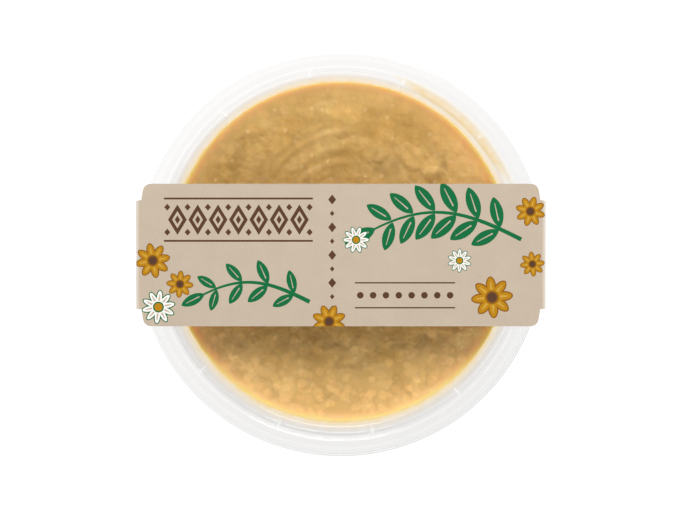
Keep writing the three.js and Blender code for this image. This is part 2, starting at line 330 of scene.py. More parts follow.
def ring_faces(first, second, count):
    """Faces between two rings of points that start at those numbers."""
    steps = [(k, (k + 1) % count) for k in range(count)]
    return [(first + k, second + k, second + after, first + after) for k, after in steps]


def turned(profile, angles, lift=None):
    """Points and faces of a profile (radius, height) turned about Z. It starts and ends on the axis."""
    count = len(profile) - 2
    radius, height = profile[1:-1].T
    points = [(0, 0, profile[0, 1]), (0, 0, profile[-1, 1])]
    for angle in angles:
        z = height if lift is None else lift(radius, height, angle)
        points += list(zip(*polar(radius, angle), z))
    faces = []
    for i in range(len(angles)):
        here = 2 + i * count
        there = 2 + (i + 1) % len(angles) * count
        faces.append((0, there, here))
        faces += [(here + k, there + k, there + k + 1, here + k + 1) for k in range(count - 1)]
        faces.append((here + count - 1, there + count - 1, 1))
    return points, faces


def shell_profile(line, thickness):
    """The outline of a wall round its middle line, from the axis below to the axis above."""
    upper = offset_line(line, thickness / 2)
    lower = offset_line(line, -thickness / 2)
    upper[0, 0] = lower[0, 0] = 0
    return np.concatenate([lower, upper[::-1]])


# Materials


class Nodes:
    """A material's or world's nodes, with short calls to add more. Reach is from the axis."""

    def __init__(self, name, group="materials", output="OutputMaterial"):
        self.owner = getattr(bpy.data, group).new(name)
        self.owner.use_nodes = True
        self.tree = self.owner.node_tree
        self.tree.nodes.clear()
        self.output = self.add(output)
        self.place = self.add("TexCoord").outputs["Object"]
        self.x, self.y, self.height = self.add("SeparateXYZ", Vector=self.place).outputs
        self.reach = self.vectors("LENGTH", self.vectors("MULTIPLY", self.place, (1, 1, 0)))

    def add(self, kind, **inputs):
        node = self.filled(kind)
        for name, value in inputs.items():
            self.put(node.inputs[name.replace("_", " ")], value)
        return node

    def filled(self, kind, *values, **options):
        """A node with its first inputs filled in order."""
        node = self.tree.nodes.new("ShaderNode" + kind)
        for name, option in options.items():
            setattr(node, name, option)
        for socket, value in zip(node.inputs, values):
            self.put(socket, value)
        return node

    def put(self, socket, value):
        if isinstance(value, NodeSocket):
            self.tree.links.new(value, socket)
        else:
            socket.default_value = value

    def maths(self, operation, *values):
        return self.filled("Math", *values, operation=operation).outputs[0]

    def vectors(self, operation, *values):
        node = self.filled("VectorMath", *values, operation=operation)
        return node.outputs["Value" if operation == "LENGTH" else "Vector"]

    def times(self, first, *others):
        for value in others:
            first = self.maths("MULTIPLY", first, value)
        return first

    def spread(self, value, low, high, to_low=0.0, to_high=1.0):
        """Even steps between two numbers, as a value goes from low to high, and none beyond."""
        return self.filled("MapRange", value, low, high, to_low, to_high).outputs[0]

    def across(self, place, low, high, to_low=0.0, to_high=1.0):
        """The same, with low and high in millimetres."""
        return self.spread(place, low * MM, high * MM, to_low, to_high)

    def colours(self, share, first, second):
        node = self.filled("Mix", share, data_type="RGBA")
        self.put(node.inputs["A"], first)
        self.put(node.inputs["B"], second)
        return node.outputs["Result"]

    def mixed(self, share, first, second):
        """One shader over another."""
        return self.filled("MixShader", share, first, second).outputs[0]

    def noise(self, scale, detail=3.0, roughness=0.55, at=None):
        where = at or self.place
        noise = self.add("TexNoise", Vector=where, Scale=scale, Detail=detail, Roughness=roughness)
        return noise.outputs["Fac"]

    def draws(self, cells):
        """A number from 0 to 1 for each cell."""
        return self.add("SeparateColor", Color=cells.outputs["Color"]).outputs[0]

    def warped(self, scale, reach):
        """The place moved about by a noise, to break up straight cell edges."""
        noise = self.add("TexNoise", Vector=self.place, Scale=scale, Detail=2).outputs["Color"]
        return self.vectors("MULTIPLY_ADD", noise, (reach, reach, reach), self.place)

    def bump(self, height, distance, strength):
        return self.add("Bump", Height=height, Distance=distance, Strength=strength).outputs["Normal"]

    def finish(self, shader):
        self.put(self.output.inputs["Surface"], shader)
        return self.owner


def slanted(n, power):
    """How far from face on a wall is seen. A high power leaves only what is seen edge on."""
    return n.maths("POWER", n.add("LayerWeight", Blend=0.5).outputs["Facing"], power)


def clear_sheet(n, look, tint, scatter, shine=1.0):
    """Thin clear sheet: light goes straight through, less some that is scattered or mirrored."""
    clear = n.add("BsdfTransparent", Color=tint).outputs[0]
    milk = n.add("BsdfDiffuse", Color=(0.9, 0.91, 0.9, 1)).outputs[0]
    ripple = n.bump(n.noise(90, 2), 0.0002, 0.25)
    gloss = n.add("BsdfGlossy", Color=WHITE, Roughness=look.roughness, Normal=ripple).outputs[0]
    cloud = n.spread(n.noise(45, 2), 0.3, 0.7, 0.7, 1.3)
    body = n.mixed(n.times(cloud, scatter), clear, milk)
    mirrored = n.times(n.maths("MULTIPLY_ADD", slanted(n, 5.0), 0.14, 0.025), shine)
    return n.finish(n.mixed(mirrored, body, gloss))


def tub_plastic(look):
    """Darker where a wall is seen edge on, and darker still towards the near left as painted shade.

    The flange's lip and the wall just above the fill are left clear."""
    n = Nodes("clear_tub_plastic")
    lip = n.across(n.reach, 55.8, 56.6, 1, 0)
    # Painted shade: the edge darkening is weaker low beside the fill and past the shoulder, and stronger
    # towards the near left
    lit = n.times(n.across(n.height, 29, 33, 0.45, 1), n.across(n.reach, 52.5, 52.9, 1, 0.55))
    toward = n.maths("MULTIPLY_ADD", n.y, -0.85, n.times(n.x, -0.5))
    slant = n.times(slanted(n, 4), lip, lit, n.across(toward, -45, 45, 0.75, 1.7))
    # Painted shade: a darker ring on the ledge, on the near side only
    ledge_shade = n.times(n.across(n.reach, 51.2, 51.8), n.across(n.reach, 53.1, 52.7))
    ledge_shade = n.times(ledge_shade, n.across(toward, -5, 45, 0, 0.3))
    tint = n.colours(n.maths("MAXIMUM", slant, ledge_shade), look.tint, look.edge_and_shade_tint)
    return clear_sheet(n, look, n.colours(lip, WHITE, tint), look.milk, lip)


def lid_plastic(look):
    """Darker at its outer rounding, and darker towards the near right as painted shade.

    The skirt lies close round the tub's flange and hardly shows through the rim."""
    n = Nodes("clear_lid_plastic")
    # Painted shade: a weight that grows towards the near right
    near = n.across(n.times(n.maths("SUBTRACT", n.x, n.y), 0.707), -55, 55)
    # The outer rounding's dark line, deepened towards the near right as painted shade
    line = n.times(n.across(n.reach, 57.9, 58.4), n.across(n.height, 40, 40.5))
    line = n.times(line, n.spread(near, 0, 1, 0.15, 1))
    # Painted shade over the rim towards the near right, and a slightly darker ring all round near the
    # outer edge
    shade = n.times(near, n.across(n.reach, 50, 50.8, 0, 0.15))
    shade = n.maths("ADD", shade, n.across(n.reach, 56, 56.8, 0, 0.11))
    upper = n.across(n.height, 37.4, 37.6)
    tint = n.colours(slanted(n, 12), look.tint, look.edge_and_shade_tint)
    tint = n.colours(n.maths("MAXIMUM", line, shade), tint, look.rim_and_shade_tint)
    return clear_sheet(n, look, n.colours(upper, WHITE, tint), look.milk, upper)


def frosted_plastic(look):
    return clear_sheet(Nodes("frosted_lugs"), look, look.tint, look.frost)


def paste_tones(n, look):
    """Browner in the middle, partly painted shade; painted light towards the near and right; a warm,
    bright painted glow along the wall.
    """
    slope = n.add("SeparateXYZ", Vector=n.add("NewGeometry").outputs["True Normal"]).outputs["Z"]
    upper = n.spread(slope, 0, 0.2)
    blotch = n.spread(n.noise(95, 3), 0.35, 0.65)
    paste = n.colours(blotch, look.deep, look.paste)
    # Partly the paste's own browner colour, partly painted shade where the band shades the middle
    off = n.vectors("MULTIPLY_ADD", n.place, (1, 1, 0), (-BROWN_AND_SHADED_MIDDLE.x * MM, -BROWN_AND_SHADED_MIDDLE.y * MM, 0))
    middle = n.across(n.vectors("LENGTH", off), BROWN_AND_SHADED_MIDDLE.outer, BROWN_AND_SHADED_MIDDLE.inner, 0, 0.6)
    paste = n.colours(middle, paste, look.middle)
    # Painted light: a pool of light on the top towards the near side and right
    side = n.maths("MAXIMUM", n.across(n.y, -6, -18), n.across(n.x, 20, 36, 0, 0.95))
    lit = n.times(n.across(n.reach, 34, 47, 0, 0.6), side, upper)
    paste = n.colours(lit, paste, look.near)
    # Painted glow: warm and bright along the wall, as where light comes in through the tub
    edge = n.times(n.maths("POWER", n.across(n.reach, 34, 49.2), 7.5), upper, 0.9)
    paste = n.colours(edge, paste, look.edge)
    # Painted shade: the side faces are darker than the top
    return n.colours(upper, n.vectors("MULTIPLY", paste, (0.92, 0.87, 0.80)), paste)


def with_patches(n, paste):
    """Oval patches with ragged edges."""
    shift = 1.1  # millimetres that the warp moves its middle by
    moved = n.warped(260, 2 * shift * MM)
    for x, y, length, width, turn, tone in PATCHES:
        middle = ((x + shift) * MM, (y + shift) * MM, 0)
        size = (length / 2 * MM, width / 2 * MM, 10)
        rotation = (0, 0, radians(turn))
        in_oval = n.filled("Mapping", moved, middle, rotation, size, vector_type="TEXTURE").outputs[0]
        patch = n.spread(n.vectors("LENGTH", in_oval), 1.25, 0.65)
        paste = n.colours(patch, paste, n.vectors("MULTIPLY", paste, (tone, tone**1.1, tone**1.4)))
    return paste


def with_flecks(n, look, paste):
    """Flecks that fade out by the wall and are calmer in the far half, and rare pale specks."""
    calm = n.times(n.across(n.reach, 49.2, 46.5), n.across(n.y, 12, -4, 0.55, 1))
    for scale, size, low, high, tone in FLECKS:
        cells = n.add("TexVoronoi", Vector=n.warped(1.6 * scale, 0.3 / scale), Scale=scale)
        shape = n.spread(cells.outputs["Distance"], size, size - 0.12)
        fleck = n.times(n.spread(n.draws(cells), low, high), shape, calm)
        paste = n.colours(fleck, paste, n.vectors("MULTIPLY", paste, tone))
    cells = n.add("TexVoronoi", Vector=n.warped(900, 0.0012), Scale=640)
    rare = n.spread(n.draws(cells), 0.90, 0.96)
    speck = n.times(n.spread(cells.outputs["Distance"], 0.42, 0.26), rare, 0.3)
    return n.colours(speck, paste, look.speck)


def hummus_paste(look):
    """Moist paste. Light spreads farther in it along the wall, where it comes in from the side."""
    n = Nodes("hummus_paste")
    paste = with_flecks(n, look, with_patches(n, paste_tones(n, look)))
    middle = look.roughness
    wet = n.spread(n.noise(700, 2), 0.35, 0.65, middle - 0.12, middle + 0.12)
    grain = n.bump(n.noise(2600, 3), 0.00010, 0.5)
    wall_depth = n.across(n.y, 22, 42, look.edge_depth, look.edge_depth * 0.35)
    depth = n.across(n.reach, 45.5, 48, look.glow_depth, wall_depth)
    looks = {"Base_Color": paste, "Roughness": wet, "Normal": grain, "Specular_IOR_Level": SOFT_SHINE}
    glow = {"Weight": 0.85, "Radius": (1, 0.62, 0.3), "Scale": depth}
    looks.update({"Subsurface_" + name: value for name, value in glow.items()})
    return n.finish(n.add("BsdfPrincipled", **looks).outputs[0])


def smear_film(look):
    """Film of paste on the wall above the fill, thinner with height and a little streaky, with a painted
    reflection of the paste as a yellow streak at one angle.
    """
    n = Nodes("smear_film")
    stretched = n.vectors("MULTIPLY", n.place, (1, 1, 0.15))
    streaks = n.spread(n.noise(330, 3, at=stretched), 0.3, 0.7, 0.65, 1.2)
    thin = n.maths("POWER", n.across(n.height, SMEAR.top, DIP.level), SMEAR.fading)
    # Painted reflection: the paste's yellow seen in the clear wall and flange at one angle
    at = radians(SMEAR.streak_at)
    toward = n.maths("MULTIPLY_ADD", n.y, sin(at), n.times(n.x, cos(at)))
    painted_reflection = n.times(n.across(toward, 47.5, 50), n.across(n.reach, 52.2, 54.4, 0.68, 0))
    painted_reflection = n.times(painted_reflection, n.across(n.height, SMEAR.streak_low, SMEAR.streak_low + 1.5))
    cover = n.times(n.maths("MAXIMUM", thin, painted_reflection), streaks)
    tint = n.colours(cover, WHITE, look.film)
    return n.finish(n.add("BsdfTransparent", Color=tint).outputs[0])


def card_stock(name, ink, painted_fold_highlight=True):
    """Uncoated card with soft mottling and fibres, and a painted highlight where it is folded, as if the
    fold caught light from the side.
    """
    n = Nodes(name)
    mottle = n.spread(n.noise(160, 4), 0.3, 0.7, 0.97, 1.02)
    fibre = n.spread(n.noise(1900, 3, 0.7), 0.3, 0.7, 0.97, 1.03)
    tone = n.vectors("MULTIPLY", ink[:3], n.times(mottle, fibre))
    # Painted highlight: paler towards the folds at the band's ends
    if painted_fold_highlight:
        along = n.maths("ABSOLUTE", n.x)
        tone = n.colours(n.across(along, 58, 58.8, 0, 0.55), tone, srgb(240, 234, 224))
    surface = n.bump(n.noise(2400, 4, 0.65), 0.00006, 0.7)
    looks = {"Base_Color": tone, "Roughness": 0.82, "Normal": surface, "Specular_IOR_Level": SOFT_SHINE}
    return n.finish(n.add("BsdfPrincipled", **looks).outputs[0])


# Hummus


def random_from(seed):
    """Repeatable random numbers from 0 to 1, the same as in the part's source."""
    state = seed
    while True:
        state = (state * 1664525 + 1013904223) & 0xFFFFFFFF
        yield state / 4294967296


def wall_radius(z):
    return TUB.foot_radius + (z - TUB.wall / 2) * TAPER


def fill_radius(z):
    """Inner radius of the tub at a height."""
    return wall_radius(z) - TUB.wall / 2 / cos(atan(TAPER))


def grid_cells(x, y, size):
    """Places counted in cells of that size, and the numbers of the cells that they lie in."""
    u, v = x / size + 1000, y / size + 1000
    return u, v, np.floor(u).astype(int), np.floor(v).astype(int)


def value_noise(x, y, size, seed):
    """Smooth noise from -1 to 1 with features of about that size."""
    table = np.random.default_rng(seed).uniform(-1, 1, (GRID, GRID))
    u, v, i, j = grid_cells(x, y, size)
    a, b = smooth(u - i, 0, 1), smooth(v - j, 0, 1)
    def at(di, dj):
        return table[(i + di) % GRID, (j + dj) % GRID]
    low = at(0, 0) * (1 - a) + at(1, 0) * a
    high = at(0, 1) * (1 - a) + at(1, 1) * a
    return low * (1 - b) + high * b


def curds(x, y, size, seed, share=0.8, steep=1.5):
    """Rounded lumps of about that size, from 0 between them to 1, with some places left empty."""
    draw = np.random.default_rng(seed)
    table = (GRID, GRID)
    jitter = draw.uniform(0, 1, (*table, 2))
    width = draw.uniform(0.5, 0.95, table)
    lift = draw.uniform(0.3, 1, table) * (draw.uniform(0, 1, table) < share)
    u, v, i, j = grid_cells(x, y, size)
    height = np.zeros(x.shape)
    for di in (-1, 0, 1):
        for dj in (-1, 0, 1):
            cell = ((i + di) % GRID, (j + dj) % GRID)
            away = np.hypot(i + di + jitter[cell][..., 0] - u, j + dj + jitter[cell][..., 1] - v)
            dome = np.clip(1 - (away / width[cell]) ** 2, 0, 1) ** steep
            height = np.maximum(height, lift[cell] * dome)
    return height


def scatter_clumps(radius):
    random = random_from(CLUMPS.seed)
    found = []
    for _ in range(CLUMPS.count):
        reach = (radius - CLUMPS.edge) * sqrt(next(random))
        turn = tau * next(random)
        size = CLUMPS.least + (CLUMPS.most - CLUMPS.least) * next(random) ** 2
        found.append((*polar(reach, turn), size, 0.35 + 0.65 * next(random)))
    return found


def clump_height(clumps, x, y):
    height = np.zeros(x.shape)
    for cx, cy, size, lift in clumps:
        near = np.minimum(np.hypot(x - cx, y - cy) / size, 1)
        height = np.maximum(height, lift * (1 - near**2) ** 1.3)
    return CLUMPS.height * height


def swirl_place(x, y):
    """Distance from the swirl's middle, on the ring that the point's arc starts from, and angle."""
    dx, dy = x - SWIRL.x, y - SWIRL.y
    seam = radians(SWIRL.seam)
    turn = (np.arctan2(dy, dx) - seam) % tau + seam
    past = SWIRL.opens_at - np.clip(np.degrees(turn), SWIRL.opens_to, SWIRL.opens_at)
    opened = 1 + SWIRL.opening * np.radians(past)
    return np.hypot(dx, dy) / opened, turn


def arc_height(arc, reach, turn):
    """A round-topped ridge along an arc, which fades out towards its ends."""
    radius, half_width, height, start, end = arc
    middle, half = (start + end) / 2, (end - start) / 2
    off = (np.degrees(turn) - middle + 180) % 360 - 180
    fade = 1 - smooth(np.abs(off), half - SWIRL.soft_ends, half)
    return height * fade * np.exp(-(((reach - radius) / half_width) ** 2))


def clot_height(x, y):
    """The largest clots: long domes with steep sides."""
    height = np.zeros(np.shape(x))
    for cx, cy, length, width, turn, lift in CLOTS:
        c, s = cos(radians(turn)), sin(radians(turn))
        dx, dy = x - cx, y - cy
        near = np.hypot((c * dx + s * dy) / length, (c * dy - s * dx) / width) * 2
        height = np.maximum(height, lift * (1 - np.minimum(near, 1) ** 3))
    return height


def main_forms(x, y, clumps):
    reach, turn = swirl_place(x, y)
    height = sum(arc_height(arc, reach, turn) for arc in RIDGES)
    dx, dy = x - FURROW_AT[0], y - FURROW_AT[1]
    height += arc_height(FURROW, np.hypot(dx, dy), np.arctan2(dy, dx))
    over_arcs = (1 - smooth(reach, 18, 26)) * smooth(y, 0, 8)
    return height + clot_height(x, y) + clump_height(clumps, x, y) * (1 - 0.6 * over_arcs)


def fine_forms(x, y):
    """Streaks drawn out along the swirl in the far half, and small soft lumps elsewhere."""
    reach, turn = swirl_place(x, y)
    along = 20 * turn
    drawn = 0.13 * value_noise(reach, along / 2.8, 2.3, 13)
    drawn += 0.06 * value_noise(reach, along / 2.4, 1.1, 14)
    furrows = 0.09 * np.sin(tau * (reach + 0.7 * value_noise(x, y, 5, 15)) / 2.7)
    furrows *= (0.6 + 0.4 * value_noise(x, y, 6, 16)) * (1 - smooth(reach, 20, 30))
    lumps = 0.26 * curds(x, y, 3.1, 5, steep=1.2) + 0.22 * curds(x, y, 1.9, 6, steep=1.2)
    lumps += 0.14 * curds(x, y, 1.05, 7, steep=1.0)
    swept = smooth(y + 5 * value_noise(x, y, 9, 12), -6, 8) * (1 - 0.6 * smooth(reach, 19, 29))
    grains = 0.06 * curds(x, y, 0.75, 8, 0.5)
    return swept * (drawn + furrows) + (1 - 0.9 * swept) * lumps + grains


def dip_height(clumps, radius, x, y):
    """Height of the surface: the forms of the solid, with finer streaks and lumps on them."""
    r = np.hypot(x, y)
    ragged = r + 1.7 * value_noise(x, y, 5, 11)
    rough = 1 - smooth(ragged, radius - DIP.rough_edge, radius - DIP.smooth_edge)
    mound = DIP.mound * (1 - smooth(r, 0, radius - DIP.mound_edge))
    meniscus = DIP.meniscus * smooth(r, radius - DIP.meniscus_width, radius)
    wx = x + 0.5 * value_noise(x, y, 4.0, 1) + 0.15 * value_noise(x, y, 1.6, 2)
    wy = y + 0.5 * value_noise(x, y, 4.0, 3) + 0.15 * value_noise(x, y, 1.6, 4)
    calm = 0.20 * value_noise(x, y, 7, 9) + 0.03 * value_noise(x, y, 1.8, 10)
    forms = main_forms(wx, wy, clumps) + fine_forms(wx, wy)
    return DIP.level + mound + meniscus + rough * forms + calm


def dip_mesh(rings):
    """A disc of rings, ring i with 6 i points, on a tapered side and a flat base."""
    base = TUB.stand + TUB.foot_height + TUB.wall / 2
    radius = fill_radius(DIP.level + DIP.meniscus) + DIP.bite
    clumps = scatter_clumps(radius)
    starts = [0] + [1 + 3 * i * (i + 1) for i in range(rings + 1)]
    flat = [np.zeros((1, 2))]
    for i in range(1, rings + 1):
        turn = tau * np.arange(6 * i) / (6 * i)
        flat.append(radius * i / rings * np.stack([np.cos(turn), np.sin(turn)], 1))
    flat = np.concatenate(flat)
    height = dip_height(clumps, radius, flat[:, 0], flat[:, 1])
    faces = []
    for i in range(1, rings + 1):
        inner, outer = max(6 * (i - 1), 1), 6 * i
        first_in, first_out = starts[i - 1], starts[i]
        for sector in range(6):
            for k in range(i):
                a = first_out + sector * i + k
                b = first_out + (sector * i + k + 1) % outer
                c = first_in + (sector * (i - 1) + k) % inner
                faces.append((a, b, c))
                if k < i - 1:
                    faces.append((b, first_in + (sector * (i - 1) + k + 1) % inner, c))
    return radius, base, flat, height, faces


class HUMMUS_OT_dip(Operator):
    """Make the hummus, with its swirl and lumps"""

    bl_idname = "hummus_tub.dip"
    bl_label = "Hummus"

    def execute(self, context):
        look = context.scene.hummus_dip
        radius, base, flat, height, faces = dip_mesh(look.rings)
        rim = 6 * look.rings
        top = len(flat) - rim
        points = [np.column_stack([flat, height])]
        ends = height[top:]
        for step in range(1, SIDE_ROWS + 1):
            z = ends + (base - ends) * step / SIDE_ROWS
            wall = fill_radius(z) + DIP.bite
            points.append(np.column_stack([flat[top:] / radius * wall[:, None], z]))
        points.append(np.array([[0, 0, base]]))
        ring_starts = [top] + [len(flat) + rim * step for step in range(SIDE_ROWS)]
        for above, below in zip(ring_starts[:-1], ring_starts[1:]):
            faces += ring_faces(above, below, rim)
        centre = len(flat) + rim * SIDE_ROWS
        last = ring_starts[-1]
        faces += [(centre, last + (k + 1) % rim, last + k) for k in range(rim)]
        dip = add_object("hummus_dip", np.concatenate(points), faces, [hummus_paste(look)], sharp=80)
        on_part(dip, "hummus")
        self.smear(look)
        return {"FINISHED"}

    def smear(self, look):
        """The thin film on the wall above the fill, and out over the inner part of the flange, where only
        the painted reflection shows.
        """
        wall = divided(offset_line(tub_line(), TUB.wall / 2 + SMEAR.gap), 0.8)
        line = wall[(wall[:, 1] > DIP.level) & (wall[:, 0] > TUB.foot_radius) & (wall[:, 0] < SMEAR.out)]
        inner = offset_line(line, SMEAR.thickness)
        loop = np.concatenate([line, inner[::-1]])
        count = len(loop)
        points, faces = [], []
        for i in range(FILM_FACES):
            points += [(*polar(r, tau * i / FILM_FACES), z) for r, z in loop]
            faces += ring_faces(i * count, (i + 1) % FILM_FACES * count, count)
        smear = add_object("hummus_smear", points, faces, [smear_film(look)])
        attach(smear, "root")


# Tub and lid


def tub_line():
    shoulder = wall_radius(TUB.shoulder_height)
    stand, base = TUB.stand, TUB.stand + TUB.foot_height
    inner_foot = TUB.foot_radius - TUB.foot_width
    corners = [
        (0, base),
        (inner_foot - TUB.foot_height, base, 0.4),
        (inner_foot, stand, 0.4),
        (TUB.foot_radius, stand, 1.2),
        (shoulder, TUB.shoulder_height, 0.25),
        (shoulder + 0.9, TUB.shoulder_height + 0.6, 0.25),
        (shoulder + 1.1, TUB.flange_height, 0.5),
        (TUB.flange_radius, TUB.flange_height, 0.5),
        (TUB.flange_radius, TUB.flange_height - TUB.lip_drop),
    ]
    return soft_line(corners, 5)


def lid_line():
    corners = [
        (0, LID.panel_height),
        (LID.panel_radius, LID.panel_height, 0.7),
        (LID.step_inner, LID.step_height, 0.5),
        (LID.rim_inner, LID.step_height, 0.2),
        (LID.rim_inner + 0.5, LID.rim_height, 0.2),
        (LID.skirt_radius, LID.rim_height, 0.8),
        (LID.skirt_radius, LID.skirt_end + LID.grip, 0.3),
        (LID.skirt_radius - LID.grip, LID.skirt_end),
    ]
    return soft_line(corners, 6)


def lug_angles():
    return [radians(LUGS.first + 360 / LUGS.count * i) for i in range(LUGS.count)]


def lid_angles(even):
    """Even steps round the lid, with closer ones across each lug."""
    across = np.array([-0.62, -0.5, -0.4, -0.25, 0, 0.25, 0.4, 0.5, 0.62]) * LUGS.width / LUGS.inner
    near = np.concatenate([angle + across for angle in lug_angles()])
    clear = [a for a in even if np.abs((a - near + pi) % tau - pi).min() > 0.004]
    return np.sort(np.concatenate([clear, near % tau]))


def lid_lift(radius, height, angle):
    """Raises the upper face of the lid's step where a lug crosses it."""
    away = min(abs((angle - lug + pi) % tau - pi) for lug in lug_angles())
    across = 1 - smooth(away * LUGS.inner / LUGS.width, 0.36, 0.6)
    foot = LID.step_height - LUGS.root
    top = np.minimum(
        foot + (radius - LUGS.inner) / LUGS.rise * (LUGS.top - foot),
        LUGS.top - (radius - LUGS.outer + LUGS.rise).clip(0) * LUGS.fall,
    )
    middle = np.interp(radius, [LID.panel_radius, LID.step_inner], [LID.panel_height, LID.step_height])
    upper = height > middle
    raised = upper & (radius > LUGS.inner) & (radius < LUGS.outer)
    return np.where(raised, height + across * (top - height).clip(0), height)


def lid_profile():
    """The lid's outline, in short steps near its edge, where the lugs raise it."""
    line = divided(shell_profile(lid_line(), LID.wall), LID_STEP)
    bare = line[:, 0] < LID.panel_radius * 0.6
    bare[[0, -1]] = False
    return line[~bare]


def on_lugs(points, faces):
    """1 for each face that has a corner on the top of a lug, and 0 for the others."""
    x, y, height = np.array(points).T
    radius = np.hypot(x, y)
    low = LID.step_height + LID.wall / 2 + 0.1
    raised = (height > low) & (radius < LUGS.outer) & (radius > LUGS.inner)
    return [int(any(raised[i] for i in face)) for face in faces]


class HUMMUS_OT_tub(Operator):
    """Make the clear tub and its lid"""

    bl_idname = "hummus_tub.tub"
    bl_label = "Tub and lid"

    def execute(self, context):
        look = context.scene.hummus_plastic
        angles = tau * np.arange(TUB_FACES) / TUB_FACES
        points, faces = turned(shell_profile(tub_line(), TUB.wall), angles)
        tub = add_object("clear_tub", points, faces, [tub_plastic(look)])
        on_part(tub, "tub")
        points, faces = turned(lid_profile(), lid_angles(angles), lid_lift)
        plastics = [lid_plastic(look), frosted_plastic(look)]
        lid = add_object("clear_lid", points, faces, plastics, on_lugs(points, faces))
        on_part(lid, "lid")
        return {"FINISHED"}


# Card band


def turn_points(points, angle, x, y):
    c, s = cos(angle), sin(angle)
    return [(x + c * u - s * v, y + s * u + c * v) for u, v in points]


def oval(x, y, length, width, angle=0.0, point=0.0, steps=28):
    """An oval. A point of 1 draws both ends out to tips, as on a leaf."""
    turns = [tau * i / steps for i in range(steps)]
    line = [(length / 2 * cos(t), width / 2 * sin(t) * abs(sin(t)) ** point) for t in turns]
    return turn_points(line, angle, x, y)


def lozenge(x, y, width, height):
    return [(x - width / 2, y), (x, y - height / 2), (x + width / 2, y), (x, y + height / 2)]


def bar(x0, x1, y, width):
    """A straight bar with round ends."""
    r = width / 2
    found = []
    for x, start in ((x0 + r, 0.5 * pi), (x1 - r, -0.5 * pi)):
        found += [polar(r, t, x, y) for t in np.linspace(start, start + pi, 7)]
    return found


def ribbon(line, width):
    """A curved stroke that thins out towards its end."""
    line = np.array(line, float)
    taper = np.linspace(1, 0.45, len(line))[:, None]
    mitre, _ = normals_of(line)
    left, right = line + mitre * taper * width / 2, line - mitre * taper * width / 2
    return [tuple(p) for p in [*right, *left[::-1]]]


def leaf_shapes(stalk, reach, size, angle):
    """A pointed leaf with a bare midrib, its middle that far from its place on the stem."""
    x, y = polar(reach, angle, *stalk)
    rib = turn_points([(-0.28 * size, 0), (0.3 * size, 0)], angle, x, y)
    return [("green", oval(x, y, size, size * 0.42, angle, 0.55)), ("card", ribbon(rib, size * 0.045))]


def sprig(x0, x1, y, rise, leaf, pairs):
    """A leafy stem from x0 to x1, with leaves on both sides and one at the tip."""
    def stem(t):
        return x0 + (x1 - x0) * t, y + rise * sin(2.6 * t) - 0.22 * rise * t
    shapes = [("green", ribbon([stem(t) for t in np.linspace(0, 1, 22)], 1.25))]
    for i in range(pairs):
        t = 0.14 + 0.72 * i / (pairs - 1)
        ahead, here = stem(t + 0.02), stem(t)
        heading = atan2(ahead[1] - here[1], ahead[0] - here[0])
        size = leaf * (1 - 0.32 * abs(t - 0.4))
        for side in (-1, 1):
            shapes += leaf_shapes(here, size * 0.56, size, heading + side * 0.92)
    tip, before = stem(1), stem(0.97)
    heading = atan2(tip[1] - before[1], tip[0] - before[0])
    return shapes + leaf_shapes(tip, 0.4 * leaf, leaf, heading)


def flower_shapes(x, y, size, turn, petals=8, inks=("dark_ochre", "ochre", "light_ochre", "brown")):
    """An open flower: outlined petals, each with a lighter streak, round a dark middle."""
    outline, body, light, heart = inks
    shapes = []
    angles = [turn + tau * i / petals for i in range(petals)]
    reach, length, width = size * 0.29, size * 0.42, size * 1.55 / petals
    for grow, ink in ((0.07, outline), (0, body)):
        for angle in angles:
            middle = polar(reach, angle, x, y)
            shapes.append((ink, oval(*middle, length + grow * size, width + grow * size, angle, 0.1, 20)))
    for angle in angles:
        streak = turn_points([(0.2 * size, 0), (0.4 * size, 0)], angle, x, y)
        shapes.append((light, ribbon(streak, size * 0.07)))
    return shapes + [(ink, oval(x, y, size * s, size * s)) for ink, s in ((outline, 0.34), (heart, 0.25))]


def woven_border(x0, x1, y, count):
    """A row of lozenges between two fine lines, as on a woven edge."""
    step = (x1 - x0) / count
    shapes = []
    for i in range(count):
        x = x0 + step * (i + 0.5)
        for ink, width, height in (("brown", 0.92, 8.8), ("card", 0.52, 5.0), ("brown", 0.26, 2.5)):
            shapes.append((ink, lozenge(x, y, step * width, height)))
    ends = [x0 + step * i for i in range(count + 1)]
    brown = [lozenge(x, y + 3.6 * side, step * 0.3, 2.0) for x in ends for side in (-1, 1)]
    brown += [bar(x0 - 1.0, x1 + 1.0, y + 6.1 * side, 0.55) for side in (-1, 1)]
    return shapes + [("brown", outline) for outline in brown]


def printed_shapes():
    """The print on the laid-out card, in order from below: x along the band, y across it."""
    shapes = woven_border(-50.0, -9.0, 10.2, 7)
    shapes += sprig(52.0, 9.0, 4.5, 9.0, 9.8, 6)
    shapes += sprig(-9.0, -40.0, -13.5, 6.5, 7.4, 4)
    sizes = ((2.3, 2.9), (1.3, 1.6))
    brown = [lozenge(-2.5, 16.0 - 4.0 * i, *sizes[i % 2]) for i in range(9)]
    brown += [oval(5.6 + 3.7 * i, -11.6, 1.9, 1.9) for i in range(8)]
    brown += [bar(4.0, 33.0, y, 0.4) for y in (-8.0, -15.2)]
    shapes += [("brown", outline) for outline in brown]
    for daisy in DAISIES:
        shapes += flower_shapes(*daisy, petals=10, inks=("green", "white", "card", "ochre"))
    for flower in FLOWERS:
        shapes += flower_shapes(*flower)
    return shapes


